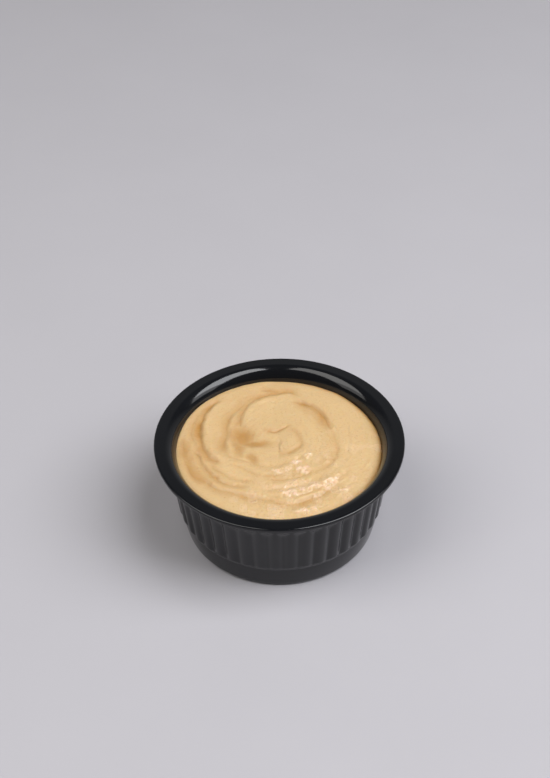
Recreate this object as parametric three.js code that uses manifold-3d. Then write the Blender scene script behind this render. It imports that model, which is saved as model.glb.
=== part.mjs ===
// A fluted ramekin filled with hummus, in millimetres, +Z up, standing on z = 0.
//
// The ramekin is a turned cup with a flat rim. Its wall stands out a little from the foot band,
// and a ring cut away from it leaves upright convex lobes with creases between them. The hummus
// fills it to a few millimetres below the rim, and its top keeps the grooves that a spoon left
// in it. Azimuths are in degrees from the front (-Y) towards +X.

import * as THREE from 'three';
import { mergeVertices } from 'three/addons/utils/BufferGeometryUtils.js';
import Module from 'manifold-3d';

// ---- Driving dimensions: ramekin --------------------------------------------------------

const HEIGHT = 36.5;
const RIM_RADIUS = 41.5;
const LIP_THICKNESS = 1.5;        // the flange that overhangs the body
const LIP_TOP_ROUND = 0.5;
const LIP_LOWER_ROUND = 0.45;
const LIP_FILLET = 0.8;           // between the flange's underside and the body

const ROLL_START = 38;            // radius where the flat rim starts to roll into the wall
const ROLL_ACROSS = 4.2;          // quarter ellipse: its radial and vertical semi-axes
const ROLL_DOWN = 7.3;
const INNER_TAPER = 0.12;         // radius lost for each millimetre down the inner wall
const INNER_CORNER = 6;
const FLOOR_THICKNESS = 3.2;

const LEDGE_HEIGHT = 10.2;        // the lobes end here, and the plain foot band begins
const LEDGE_RADIUS = 34;
const BODY_TAPER = 0.113;         // radius lost for each millimetre down the lobed wall
const FOOT_CURVE = 83;            // the foot band's arc, parallel to the lobed wall at its top
const BASE_CORNER = 1.9;

const WALL_RISE = 0.7;            // of the turned wall in front of the foot band
const WALL_BEVEL = 0.5;           // on the wall's lower edge
const LOBE_COUNT = 44;
const LOBE_SET_BACK = 0.06;       // of the lobes' middles behind the turned wall
const LOBE_POWER = 2.6;           // of a lobe's section: more is flatter in the middle
const LOBE_TOP = 29.4;
const LOBE_RUNOUT = 2.6;          // height over which the creases run out at the top
const CREASE_DEPTH = 0.6;         // behind the lobes' middles, almost down to the foot band
const CREASE_PHASE = 1;           // azimuth of the first crease

const AROUND = 88;                // facets round the turned surfaces: two to a lobe
const LOBE_AROUND = 8;            // facets across one lobe

// ---- Driving dimensions: hummus ---------------------------------------------------------

const GAP = 0.3;                  // clearance between the hummus and the ramekin
const LEVEL = 31.95;              // height of the surface where it meets the wall
const LEVEL_TILT = -0.018;        // the surface stands higher on the left (-X)
const BANK_SHARE = 0.2;           // height of a groove's banks, as a share of its depth
const SURFACE_RINGS = 20;

// Each spoon stroke is an arc about its own centre. It runs between two angles (degrees
// from +X, anticlockwise) while its radius goes from the first value to the second;
// 'bend' above 1 keeps the first radius for longer. Width and depth are those of the groove.
const STROKES = [
  { name: 'left sweep', centre: [0, 0], angles: [132, 206],
    radii: [29.6, 19.4], bend: 1.7, width: 1.5, depth: 0.7 },
  { name: 'left edge', centre: [0, 0], angles: [175, 238],
    radii: [29.5, 22.5], bend: 1, width: 1.4, depth: 0.45 },
  { name: 'front sweep', centre: [0, 0], angles: [200, 322],
    radii: [29.4, 21.5], bend: 0.8, width: 1.6, depth: 0.75 },
  { name: 'inner left', centre: [2.5, 9.5], angles: [92, 222],
    radii: [17.4, 16.4], bend: 1, width: 1.7, depth: 0.75 },
  { name: 'inner right', centre: [2.5, 9.5], angles: [78, -34],
    radii: [13.6, 19.6], bend: 1.6, width: 1.8, depth: 0.8 },
  { name: 'inner front', centre: [1.5, -0.5], angles: [352, 214],
    radii: [18.3, 13], bend: 1, width: 1.5, depth: 0.4 },
  { name: 'whorl top', centre: [-2.2, 21], angles: [232, 302],
    radii: [13.2, 11.4], bend: 1, width: 0.9, depth: 0.55 },
  { name: 'whorl right', centre: [0.6, 2.6], angles: [70, -118],
    radii: [7.6, 8.2], bend: 1, width: 1.1, depth: 0.6 },
];

// A hollow that the spoon's tip left: its centre, its half sizes and its depth.
const DIMPLE = { centre: [-12.4, 5.4], half: [4.2, 3.2], depth: 0.7 };

// ---- Turned outlines, as points of radius and height ------------------------------------

const TURN = Math.PI * 2;
const rad = THREE.MathUtils.degToRad;
const point = (r, z) => new THREE.Vector2(r, z);

/** Points along part of an axis-aligned ellipse, angles in degrees from the radial direction. */
function ellipseArc(centreR, centreZ, semiR, semiZ, from, to, steps) {
  const curve = new THREE.EllipseCurve(
    centreR, centreZ, semiR, semiZ, rad(from), rad(to), to < from, 0);
  return curve.getPoints(steps);
}

/** Radius of the turned wall above the foot band, before the lobes are cut, at a height. */
function wallRadius(z) {
  return LEDGE_RADIUS + WALL_RISE + BODY_TAPER * (z - LEDGE_HEIGHT);
}

/** The outside, from the middle of the base up to the inner edge of the flat rim. */
function outerOutline() {
  const lean = Math.atan(BODY_TAPER);
  const curveR = LEDGE_RADIUS - FOOT_CURVE * Math.cos(lean);
  const curveZ = LEDGE_HEIGHT + FOOT_CURVE * Math.sin(lean);
  const corner = Math.asin((BASE_CORNER - curveZ) / (FOOT_CURVE - BASE_CORNER));
  const cornerR = curveR + (FOOT_CURVE - BASE_CORNER) * Math.cos(corner);
  const cornerDeg = THREE.MathUtils.radToDeg(corner);
  const leanDeg = THREE.MathUtils.radToDeg(lean);

  const bevelTop = point(wallRadius(LEDGE_HEIGHT + WALL_BEVEL), LEDGE_HEIGHT + WALL_BEVEL);
  const lipUnder = HEIGHT - LIP_THICKNESS;
  const filletZ = lipUnder - LIP_FILLET;
  const filletR = wallRadius(filletZ) + LIP_FILLET;
  const lowerR = RIM_RADIUS - LIP_LOWER_ROUND;
  const upperR = RIM_RADIUS - LIP_TOP_ROUND;

  return [
    point(0, 0),
    ...ellipseArc(cornerR, BASE_CORNER, BASE_CORNER, BASE_CORNER, -90, cornerDeg, 3),
    ...ellipseArc(curveR, curveZ, FOOT_CURVE, FOOT_CURVE, cornerDeg, -leanDeg, 2).slice(1),
    point(bevelTop.x - WALL_BEVEL, LEDGE_HEIGHT),
    bevelTop,
    ...ellipseArc(filletR, filletZ, LIP_FILLET, LIP_FILLET, 180, 90, 2),
    ...ellipseArc(lowerR, lipUnder + LIP_LOWER_ROUND, LIP_LOWER_ROUND, LIP_LOWER_ROUND, -90, 0, 2),
    ...ellipseArc(upperR, HEIGHT - LIP_TOP_ROUND, LIP_TOP_ROUND, LIP_TOP_ROUND, 0, 90, 2),
    point(ROLL_START, HEIGHT),
  ];
}

/** Radius of the inner wall on the rolled edge, at a height and a distance off the wall. */
function rollRadius(z, off) {
  const rise = (z - (HEIGHT - ROLL_DOWN)) / (ROLL_DOWN + off);
  return ROLL_START - (ROLL_ACROSS + off) * Math.sqrt(1 - rise * rise);
}

/** The rolled edge from the rim down to where the straight inner wall begins. */
function rollOutline() {
  return ellipseArc(ROLL_START, HEIGHT - ROLL_DOWN, ROLL_ACROSS, ROLL_DOWN, 90, 180, 6).slice(1);
}

/** The inner corner and floor, from the foot of the wall to the axis, offset inwards. */
function cornerOutline(off) {
  const wallR = ROLL_START - ROLL_ACROSS;
  const cornerZ = FLOOR_THICKNESS + INNER_CORNER;
  const cornerR = wallR - INNER_TAPER * (HEIGHT - ROLL_DOWN - cornerZ) - INNER_CORNER;
  const size = INNER_CORNER - off;
  return [
    ...ellipseArc(cornerR, cornerZ, size, size, 0, -90, 2),
    point(0, FLOOR_THICKNESS + off),
  ];
}

/** Turns an outline round +Z. It starts and ends on the axis, and its front is at -Y. */
function turned(outline, facets) {
  const geometry = new THREE.LatheGeometry(outline, facets);
  geometry.rotateX(Math.PI / 2);
  return bareSolid(geometry);
}

/** Merges shared vertices and drops the triangles that the axis points leave empty. */
function bareSolid(geometry) {
  geometry.deleteAttribute('normal');
  geometry.deleteAttribute('uv');
  const merged = mergeVertices(geometry);
  const kept = [];
  const index = merged.getIndex();
  for (let i = 0; i < index.count; i += 3) {
    const [a, b, c] = [index.getX(i), index.getX(i + 1), index.getX(i + 2)];
    if (a !== b && b !== c && c !== a) {
      kept.push(a, b, c);
    }
  }
  merged.setIndex(kept);
  return merged;
}

// ---- Solid joins and cuts ---------------------------------------------------------------

const solids = await Module();
solids.setup();

function toManifold(geometry) {
  return new solids.Manifold(new solids.Mesh({
    numProp: 3,
    vertProperties: new Float32Array(geometry.getAttribute('position').array),
    triVerts: new Uint32Array(geometry.getIndex().array),
  }));
}

function fromManifold(manifold) {
  const mesh = manifold.getMesh();
  const geometry = new THREE.BufferGeometry();
  geometry.setAttribute('position', new THREE.BufferAttribute(mesh.vertProperties, 3));
  geometry.setIndex(new THREE.BufferAttribute(mesh.triVerts, 1));
  return geometry;
}

// ---- Ramekin ----------------------------------------------------------------------------

/** How far the lobes lie behind the turned wall, at a height and an azimuth from a crease. */
function lobeDepth(azimuth, z) {
  const share = (azimuth * LOBE_COUNT) / TURN;
  const fromMiddle = 2 * Math.abs(share - Math.floor(share) - 0.5);
  const section = fromMiddle ** LOBE_POWER * (LOBE_POWER + 1 - LOBE_POWER * fromMiddle);
  const depth = LOBE_SET_BACK + CREASE_DEPTH * section;
  const past = Math.max((z - LOBE_TOP) / LOBE_RUNOUT + 1, 0);
  const clear = 0.04;
  return depth * Math.sqrt(1 - Math.min(past, 1) ** 2) - clear * past ** 2;
}

/** A ring round the wall, whose inside has the lobes' form. It clears the foot band. */
function lobeCutter() {
  const reach = 2;
  const bottom = LEDGE_HEIGHT - 0.3;
  const shares = [0, 0.25, 1];
  const outline = [
    point(wallRadius(bottom), bottom),
    point(wallRadius(bottom) + reach, bottom),
    point(wallRadius(LOBE_TOP) + reach, LOBE_TOP),
    ...shares.map((share) => {
      const z = LOBE_TOP - LOBE_RUNOUT * share;
      return point(wallRadius(z), z);
    }),
    point(wallRadius(bottom), bottom),
  ];
  const cutter = turned(outline, LOBE_COUNT * LOBE_AROUND);
  const position = cutter.getAttribute('position');
  for (let i = 0; i < position.count; i += 1) {
    const [x, y, z] = [position.getX(i), position.getY(i), position.getZ(i)];
    const radius = Math.hypot(x, y);
    if (radius < wallRadius(z) + reach / 2) {
      const scale = (radius - lobeDepth(Math.atan2(x, -y), z)) / radius;
      position.setXYZ(i, x * scale, y * scale, z);
    }
  }
  return cutter.rotateZ(rad(CREASE_PHASE));
}

function ramekinGeometry() {
  const outline = [...outerOutline(), ...rollOutline(), ...cornerOutline(0)];
  const cup = toManifold(turned(outline, AROUND));
  return fromManifold(cup.subtract(toManifold(lobeCutter())));
}

// ---- Hummus -----------------------------------------------------------------------------

/** Rises from 0 to 1 and falls back along a stroke, so that both ends die away. */
function strokeFade(t) {
  const run = 0.18;
  const rise = THREE.MathUtils.smoothstep(t, 0, run);
  return rise * (1 - THREE.MathUtils.smoothstep(t, 1 - run, 1));
}

/** Height that one stroke adds at a place: a groove with a low bank on either side. */
function strokeHeight(stroke, x, y) {
  const dx = x - stroke.centre[0];
  const dy = y - stroke.centre[1];
  const [from, to] = stroke.angles.map(rad);
  const sense = Math.sign(to - from);
  const span = Math.abs(to - from);
  const turnedBy = (((Math.atan2(dy, dx) - from) * sense) % TURN + TURN) % TURN;
  if (turnedBy > span) {
    return 0;
  }
  const t = turnedBy / span;
  const radius = THREE.MathUtils.lerp(...stroke.radii, t ** stroke.bend);
  const aside = (Math.hypot(dx, dy) - radius) / stroke.width;
  const groove = Math.exp(-(aside ** 2));
  const bank = BANK_SHARE * Math.exp(-(((Math.abs(aside) - 2) / 0.9) ** 2));
  return stroke.depth * strokeFade(t) * (bank - groove);
}

function dimpleHeight(x, y) {
  const u = (x - DIMPLE.centre[0]) / DIMPLE.half[0];
  const v = (y - DIMPLE.centre[1]) / DIMPLE.half[1];
  return -DIMPLE.depth * Math.exp(-(u * u + v * v));
}

/** Height of the hummus at a place; towards the wall the strokes give way to a plain edge. */
function surfaceHeight(x, y, edgeRadius) {
  const out = Math.min(Math.hypot(x, y) / edgeRadius, 1);
  let relief = dimpleHeight(x, y);
  for (const stroke of STROKES) {
    relief += strokeHeight(stroke, x, y);
  }
  const inside = 1 - THREE.MathUtils.smoothstep(out, 0.9, 1);
  return LEVEL + LEVEL_TILT * x + relief * inside;
}

/** The filling: the cup's inside, less the gap, with rings that carry the worked surface. */
function hummusGeometry() {
  const edgeRadius = rollRadius(LEVEL, GAP);
  const bottom = cornerOutline(GAP).reverse();
  const wallTop = point(rollRadius(HEIGHT - ROLL_DOWN, GAP), HEIGHT - ROLL_DOWN);
  const rings = [];
  for (let i = 0; i <= SURFACE_RINGS; i += 1) {
    rings.push(point(edgeRadius * (1 - i / SURFACE_RINGS), LEVEL));
  }
  const geometry = turned([...bottom, wallTop, ...rings], AROUND);

  const position = geometry.getAttribute('position');
  for (let i = 0; i < position.count; i += 1) {
    if (position.getZ(i) < LEVEL - 1e-3) {
      continue;
    }
    const angle = Math.atan2(position.getY(i), position.getX(i));
    const share = Math.hypot(position.getX(i), position.getY(i)) / edgeRadius;
    const edgeZ = LEVEL + LEVEL_TILT * edgeRadius * Math.cos(angle);
    const radius = share * rollRadius(edgeZ, GAP);
    const x = radius * Math.cos(angle);
    const y = radius * Math.sin(angle);
    position.setXYZ(i, x, y, surfaceHeight(x, y, rollRadius(edgeZ, GAP)));
  }
  return geometry;
}

// ---- The object -------------------------------------------------------------------------

const melamine = new THREE.MeshStandardMaterial({ color: 0x1c1d1f, roughness: 0.35, metalness: 0 });
const puree = new THREE.MeshStandardMaterial({ color: 0xe2bd88, roughness: 0.5, metalness: 0 });

const ramekin = new THREE.Mesh(ramekinGeometry(), melamine);
ramekin.name = 'ramekin';

const hummus = new THREE.Mesh(hummusGeometry(), puree);
hummus.name = 'hummus';

const filledRamekin = new THREE.Group();
filledRamekin.add(ramekin, hummus);

export default filledRamekin;
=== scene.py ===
"""Hummus in a black fluted ramekin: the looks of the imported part.

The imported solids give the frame: a turned melamine ramekin and the hummus that fills it.
Here both get their fine surfaces. The ramekin is one lobe wide, repeated round its axis by
Geometry Nodes. The hummus is a closed mesh whose top carries the spoon's strokes, the drag
lines between them and the puree's grain. Sizes are in millimetres until a mesh is made, and
those of the studio in metres, unless it says otherwise.
"""

from __future__ import annotations

import logging
import math
from dataclasses import dataclass
from enum import Enum
from typing import Any

import bpy
import numpy as np
from mathutils import Matrix, Vector


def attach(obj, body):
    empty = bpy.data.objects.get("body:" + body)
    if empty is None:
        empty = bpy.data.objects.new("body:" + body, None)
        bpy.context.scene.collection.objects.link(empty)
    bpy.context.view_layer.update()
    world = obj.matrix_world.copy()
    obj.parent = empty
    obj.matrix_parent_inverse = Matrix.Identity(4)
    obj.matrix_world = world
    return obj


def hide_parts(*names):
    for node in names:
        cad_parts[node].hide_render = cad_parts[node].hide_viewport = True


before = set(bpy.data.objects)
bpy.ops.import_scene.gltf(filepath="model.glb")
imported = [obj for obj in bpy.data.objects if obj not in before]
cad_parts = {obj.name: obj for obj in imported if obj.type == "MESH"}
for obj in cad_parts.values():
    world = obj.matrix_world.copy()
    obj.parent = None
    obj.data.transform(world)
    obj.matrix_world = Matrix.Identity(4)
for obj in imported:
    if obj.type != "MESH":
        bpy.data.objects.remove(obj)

LOG = logging.getLogger("hummus")
MM = 0.001
BODY = "root"

Array = np.ndarray


# ---- Small tools ------------------------------------------------------------------------


def linear(hex_colour: str) -> tuple[float, float, float, float]:
    """Turns an sRGB hex colour into linear RGBA.

    Args:
        hex_colour: Six hex digits, with or without a leading #.

    Returns:
        The linear red, green and blue, and an alpha of 1.
    """
    digits = hex_colour.lstrip("#")
    channels = []
    for start in (0, 2, 4):
        value = int(digits[start:start + 2], 16) / 255
        channels.append(value / 12.92 if value <= 0.04045 else ((value + 0.055) / 1.055) ** 2.4)
    return (*channels, 1.0)


def add_node(tree: bpy.types.NodeTree, kind: str, inputs: dict | None = None,
             **settings: Any) -> bpy.types.Node:
    """Adds one node to a tree, with its settings, its values and its links.

    Args:
        tree: The shader or geometry tree that gets the node.
        kind: The node's type name.
        inputs: What goes into each socket, by its name or number: a value, or a socket of
            another node, which is linked.
        settings: The node's own properties.

    Returns:
        The new node.
    """
    node = tree.nodes.new(kind)
    for name, value in settings.items():
        setattr(node, name, value)
    for key, value in (inputs or {}).items():
        socket = node.inputs[key]
        if isinstance(value, bpy.types.NodeSocket):
            tree.links.new(value, socket)
        else:
            socket.default_value = value
    return node


def ramp_stops(node: bpy.types.Node, stops: dict[float, str | float]) -> None:
    """Sets a Color Ramp's stops.

    Args:
        node: The Color Ramp node.
        stops: Each stop's place, with its hex colour or linear grey value.
    """
    elements = node.color_ramp.elements
    while len(elements) < len(stops):
        elements.new(0.5)
    for element, (place, colour) in zip(elements, stops.items()):
        element.position = place
        element.color = linear(colour) if isinstance(colour, str) else (colour, colour, colour, 1)


def new_material(name: str) -> tuple[bpy.types.Material, bpy.types.NodeTree]:
    """Makes an empty node material.

    Args:
        name: The material's name.

    Returns:
        The material and its cleared node tree.
    """
    material = bpy.data.materials.new(name)
    material.use_nodes = True
    material.node_tree.nodes.clear()
    return material, material.node_tree


def mesh_object(name: str, points: Array, faces: list[tuple[int, ...]]) -> bpy.types.Object:
    """Makes a smooth-shaded mesh object at the origin.

    Args:
        name: The object's and the mesh's name.
        points: The vertices, in millimetres.
        faces: Each face's vertex numbers, anticlockwise from outside.

    Returns:
        The object, linked to the scene.
    """
    mesh = bpy.data.meshes.new(name)
    mesh.from_pydata((points * MM).tolist(), [], faces)
    mesh.polygons.foreach_set("use_smooth", np.ones(len(mesh.polygons), bool))
    mesh.update()
    obj = bpy.data.objects.new(name, mesh)
    bpy.context.scene.collection.objects.link(obj)
    return obj


def set_attribute(obj: bpy.types.Object, name: str, values: Array) -> None:
    """Stores one number for each vertex under a name that a material can read."""
    attribute = obj.data.attributes.new(name, "FLOAT", "POINT")
    attribute.data.foreach_set("value", values.astype(np.float32))


def grid_faces(rows: int, columns: int, closed: bool) -> list[tuple[int, ...]]:
    """Joins rows of points into quads.

    Args:
        rows: How many rows there are, each numbered after the one before.
        columns: How many points a row holds.
        closed: Whether a row's last point joins its first.

    Returns:
        The quads, which face outwards when the rows run up the outside of a turned form
        and the columns run anticlockwise from above.
    """
    faces = []
    for row in range(rows - 1):
        for column in range(columns if closed else columns - 1):
            after = (column + 1) % columns
            low = row * columns
            high = low + columns
            faces.append((low + column, low + after, high + after, high + column))
    return faces


def apply_tree(obj: bpy.types.Object, tree: bpy.types.NodeTree,
               values: dict[str, Any]) -> bpy.types.Object:
    """Runs a geometry tree on an object and keeps the result as its plain mesh.

    Args:
        obj: The object whose mesh goes in, and which gets the result.
        tree: The geometry tree.
        values: What each of the tree's named inputs is set to.

    Returns:
        The same object, with no modifier left on it.
    """
    modifier = obj.modifiers.new(tree.name, "NODES")
    modifier.node_group = tree
    sockets = {s.name: s.identifier for s in tree.interface.items_tree if s.in_out == "INPUT"}
    for name, value in values.items():
        modifier[sockets[name]] = value
    graph = bpy.context.evaluated_depsgraph_get()
    made = bpy.data.meshes.new_from_object(obj.evaluated_get(graph), depsgraph=graph)
    obj.modifiers.clear()
    old = obj.data
    made.name = old.name
    obj.data = made
    bpy.data.meshes.remove(old)
    return obj


def geometry_tree(name: str, inputs: dict[str, tuple[str, Any]]) -> tuple[bpy.types.NodeTree, Any]:
    """Starts a geometry tree with a Geometry input and output and some named inputs.

    Args:
        name: The tree's name.
        inputs: Each further input's socket type and default value, by its name.

    Returns:
        The tree and its Group Input node.
    """
    tree = bpy.data.node_groups.new(name, "GeometryNodeTree")
    tree.interface.new_socket("Geometry", in_out="INPUT", socket_type="NodeSocketGeometry")
    for label, (kind, default) in inputs.items():
        socket = tree.interface.new_socket(label, in_out="INPUT", socket_type=kind)
        if default is not None:
            socket.default_value = default
    tree.interface.new_socket("Geometry", in_out="OUTPUT", socket_type="NodeSocketGeometry")
    return tree, add_node(tree, "NodeGroupInput")


def smooth_noise(x: Array, y: Array, cell: float, seed: int) -> Array:
    """Smooth value noise over a plane.

    Args:
        x: First coordinates.
        y: Second coordinates.
        cell: Size of one cell, in the coordinates' unit.
        seed: Picks the pattern.

    Returns:
        Values from -1 to 1, of the coordinates' shape.
    """
    size = 256
    lattice = np.random.default_rng(seed).uniform(-1, 1, (size, size))
    u, v = x / cell, y / cell
    i, j = np.floor(u).astype(int), np.floor(v).astype(int)
    fu, fv = u - i, v - j
    fu = fu * fu * fu * (fu * (fu * 6 - 15) + 10)
    fv = fv * fv * fv * (fv * (fv * 6 - 15) + 10)
    i0, j0, i1, j1 = i % size, j % size, (i + 1) % size, (j + 1) % size
    near = lattice[i0, j0] * (1 - fu) + lattice[i1, j0] * fu
    far = lattice[i0, j1] * (1 - fu) + lattice[i1, j1] * fu
    return near * (1 - fv) + far * fv


def smoothstep(value: Array, low: float, high: float) -> Array:
    """Rises smoothly from 0 at low to 1 at high."""
    t = np.clip((value - low) / (high - low), 0, 1)
    return t * t * (3 - 2 * t)


# ---- Finishes ---------------------------------------------------------------------------


@dataclass(frozen=True)
class MouldedMelamine:
    """Compression-moulded melamine, dyed black all through.

    The steel mould leaves a hard gloss with a very faint orange peel, so reflections are
    clear on the inside and a little broken on the lobed outside, where the tool is less
    polished. Handling leaves fine hazy marks that show only in the gloss.

    Attributes:
        colour: The dyed resin's own colour.
        hazy_colour: Its colour where it is hazy.
        ior: Index of refraction of melamine resin.
        gloss_roughness: Roughness of the polished inside and rim.
        satin_roughness: Roughness of the lobed outside.
        peel_mm: Width of the orange peel's bumps.
        peel_height_mm: Height of those bumps.
        peel_strength: How much of that height shows.
        haze_mm: Width of the patches where handling has dulled the gloss.
        haze_span: The haze pattern's values from clear to hazy.
        wear: What the roughness is multiplied by, from clear to hazy.
    """

    colour: str = "#0f1012"
    hazy_colour: str = "#141518"
    ior: float = 1.45
    gloss_roughness: float = 0.1
    satin_roughness: float = 0.15
    peel_mm: float = 1.6
    peel_height_mm: float = 0.05
    peel_strength: float = 0.05
    haze_mm: float = 14.0
    haze_span: tuple[float, float] = (0.35, 0.7)
    wear: tuple[float, float] = (0.85, 1.25)

    def material(self) -> bpy.types.Material:
        """Builds the material; it reads the ramekin's 'outside' attribute."""
        material, tree = new_material("moulded_black_melamine")
        place = add_node(tree, "ShaderNodeTexCoord").outputs["Object"]
        outside = add_node(tree, "ShaderNodeAttribute", attribute_name="outside").outputs["Fac"]
        haze = add_node(tree, "ShaderNodeTexNoise", {
            "Vector": place, "Scale": 1 / (self.haze_mm * MM), "Detail": 4.0, "Roughness": 0.6})
        polish = add_node(tree, "ShaderNodeMapRange", {
            "Value": outside, "To Min": self.gloss_roughness, "To Max": self.satin_roughness})
        worn = add_node(tree, "ShaderNodeMapRange", {
            "Value": haze.outputs["Fac"], "From Min": self.haze_span[0],
            "From Max": self.haze_span[1], "To Min": self.wear[0], "To Max": self.wear[1]})
        roughness = add_node(tree, "ShaderNodeMath", {
            0: polish.outputs["Result"], 1: worn.outputs["Result"]}, operation="MULTIPLY")
        peel = add_node(tree, "ShaderNodeTexNoise", {
            "Vector": place, "Scale": 1 / (self.peel_mm * MM), "Detail": 1.0})
        bump = add_node(tree, "ShaderNodeBump", {
            "Height": peel.outputs["Fac"], "Strength": self.peel_strength,
            "Distance": self.peel_height_mm * MM})
        tint = add_node(tree, "ShaderNodeMix", {
            "Factor": haze.outputs["Fac"], "A": linear(self.colour),
            "B": linear(self.hazy_colour)}, data_type="RGBA")
        shader = add_node(tree, "ShaderNodeBsdfPrincipled", {
            "Base Color": tint.outputs["Result"], "Roughness": roughness.outputs["Value"],
            "IOR": self.ior, "Normal": bump.outputs["Normal"]})
        add_node(tree, "ShaderNodeOutputMaterial", {"Surface": shader.outputs["BSDF"]})
        return material


@dataclass(frozen=True)
class ChickpeaPuree:
    """Chickpea and sesame puree, worked smooth with a spoon.

    Light goes a millimetre or so into it, which softens its shadows. The grooves, hollows and
    the line along the wall carry painted shade, in a darker ochre colour, and the moist ridges
    a painted glint, in a pale colour. Oil on the skin gives a moist sheen that breaks up over
    the grain of ground chickpea.

    Attributes:
        crest: Colour of the open surface.
        body: Colour between the crests.
        hollow: Colour of the painted shade in the grooves and hollows and along the wall.
        moist: Colour of the painted glint on the moist ridges, pale like a highlight.
        grain: Colour of the ground skins.
        ior: Index of refraction of the oily skin.
        scatter_mm: How far light travels inside, for red, green and blue.
        scatter_weight: How much of the light goes in.
        grain_mm: Width of the grain.
        grain_height_mm: Height of the grain that is too fine for the mesh.
        grain_strength: How much of that height shows, on a dry and on a moist skin.
        speck_span: The grain pattern's values from bare paste to a full speck.
        speck_share: How much of its own colour a full speck shows.
        mottle_mm: Width of the cloudy patches of colour.
        roughness: Roughness of a dry and of a moist skin.
        pale_from: How moist a ridge is where its painted glint, a pale colour, begins.
        pale_share: How much of the painted glint's pale colour it shows where it is fully moist.
    """

    crest: str = "#c5a97d"
    body: str = "#bd9e72"
    # Painted shade, in the grooves and hollows and along the wall.
    hollow: str = "#a57a42"
    # Painted glint, on the moist ridges.
    moist: str = "#dcc0a4"
    grain: str = "#a98450"
    ior: float = 1.45
    scatter_mm: tuple[float, float, float] = (1.6, 0.8, 0.35)
    scatter_weight: float = 0.35
    grain_mm: float = 0.7
    grain_height_mm: float = 0.16
    grain_strength: tuple[float, float] = (0.3, 0.75)
    speck_span: tuple[float, float] = (0.56, 0.76)
    speck_share: float = 0.7
    mottle_mm: float = 7.0
    roughness: tuple[float, float] = (0.5, 0.15)
    pale_from: float = 0.5
    pale_share: float = 0.75

    def material(self) -> bpy.types.Material:
        """Builds the material; it reads the filling's 'groove' and 'wet' attributes."""
        material, tree = new_material("chickpea_puree")
        place = add_node(tree, "ShaderNodeTexCoord").outputs["Object"]
        groove = add_node(tree, "ShaderNodeAttribute", attribute_name="groove").outputs["Fac"]
        wet = add_node(tree, "ShaderNodeAttribute", attribute_name="wet").outputs["Fac"]

        mottle = add_node(tree, "ShaderNodeTexNoise", {
            "Vector": place, "Scale": 1 / (self.mottle_mm * MM), "Detail": 3.0})
        paste = add_node(tree, "ShaderNodeMix", {
            "Factor": mottle.outputs["Fac"], "A": linear(self.crest), "B": linear(self.body)},
            data_type="RGBA")
        # Painted shade: the grooves and hollows are darkened towards the hollow colour.
        painted_shade = add_node(tree, "ShaderNodeMix", {
            "Factor": groove, "A": paste.outputs["Result"], "B": linear(self.hollow)},
            data_type="RGBA")
        # Painted glint: where the skin is moist enough, the colour turns towards the pale moist
        # colour.
        ridge = add_node(tree, "ShaderNodeMapRange", {
            "Value": wet, "From Min": self.pale_from, "To Max": self.pale_share})
        pale = add_node(tree, "ShaderNodeMix", {
            "Factor": ridge.outputs["Result"], "A": painted_shade.outputs["Result"],
            "B": linear(self.moist)}, data_type="RGBA")
        grain = add_node(tree, "ShaderNodeTexNoise", {
            "Vector": place, "Scale": 1 / (self.grain_mm * MM), "Detail": 3.0, "Roughness": 0.65})
        specks = add_node(tree, "ShaderNodeMapRange", {
            "Value": grain.outputs["Fac"], "From Min": self.speck_span[0],
            "From Max": self.speck_span[1], "To Max": self.speck_share})
        ground = add_node(tree, "ShaderNodeMix", {
            "Factor": specks.outputs["Result"], "A": pale.outputs["Result"],
            "B": linear(self.grain)}, data_type="RGBA")
        sheen = add_node(tree, "ShaderNodeMapRange", {
            "Value": wet, "To Min": self.roughness[0], "To Max": self.roughness[1]})
        lift = add_node(tree, "ShaderNodeMapRange", {
            "Value": wet, "To Min": self.grain_strength[0], "To Max": self.grain_strength[1]})
        bump = add_node(tree, "ShaderNodeBump", {
            "Height": grain.outputs["Fac"], "Strength": lift.outputs["Result"],
            "Distance": self.grain_height_mm * MM})
        shader = add_node(tree, "ShaderNodeBsdfPrincipled", {
            "Base Color": ground.outputs["Result"], "Roughness": sheen.outputs["Result"],
            "IOR": self.ior, "Subsurface Weight": self.scatter_weight, "Subsurface Scale": 1.0,
            "Subsurface Radius": tuple(size * MM for size in self.scatter_mm),
            "Normal": bump.outputs["Normal"]})
        add_node(tree, "ShaderNodeOutputMaterial", {"Surface": shader.outputs["BSDF"]})
        return material


@dataclass(frozen=True)
class PaleBackdrop:
    """Matt pale grey studio paper, which gives a soft contact shadow and no reflections.

    Attributes:
        colour: The paper's colour.
        cloud_colour: Its colour in the faint clouds.
        cloud_mm: Width of those clouds.
        roughness: Roughness of the paper.
        specular: How much it reflects, where 0.5 is usual.
    """

    colour: str = "#a4a2a6"
    cloud_colour: str = "#a8a6aa"
    cloud_mm: float = 55.56
    roughness: float = 0.9
    specular: float = 0.2

    def material(self) -> bpy.types.Material:
        """Builds the material, with a faint cloudiness so that it isn't dead flat."""
        material, tree = new_material("pale_studio_paper")
        place = add_node(tree, "ShaderNodeTexCoord").outputs["Object"]
        cloud = add_node(tree, "ShaderNodeTexNoise", {
            "Vector": place, "Scale": 1 / (self.cloud_mm * MM), "Detail": 3.0})
        colour = add_node(tree, "ShaderNodeMix", {
            "Factor": cloud.outputs["Fac"], "A": linear(self.colour),
            "B": linear(self.cloud_colour)}, data_type="RGBA")
        shader = add_node(tree, "ShaderNodeBsdfPrincipled", {
            "Base Color": colour.outputs["Result"], "Roughness": self.roughness,
            "Specular IOR Level": self.specular})
        add_node(tree, "ShaderNodeOutputMaterial", {"Surface": shader.outputs["BSDF"]})
        return material


# ---- Ramekin ----------------------------------------------------------------------------


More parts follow.
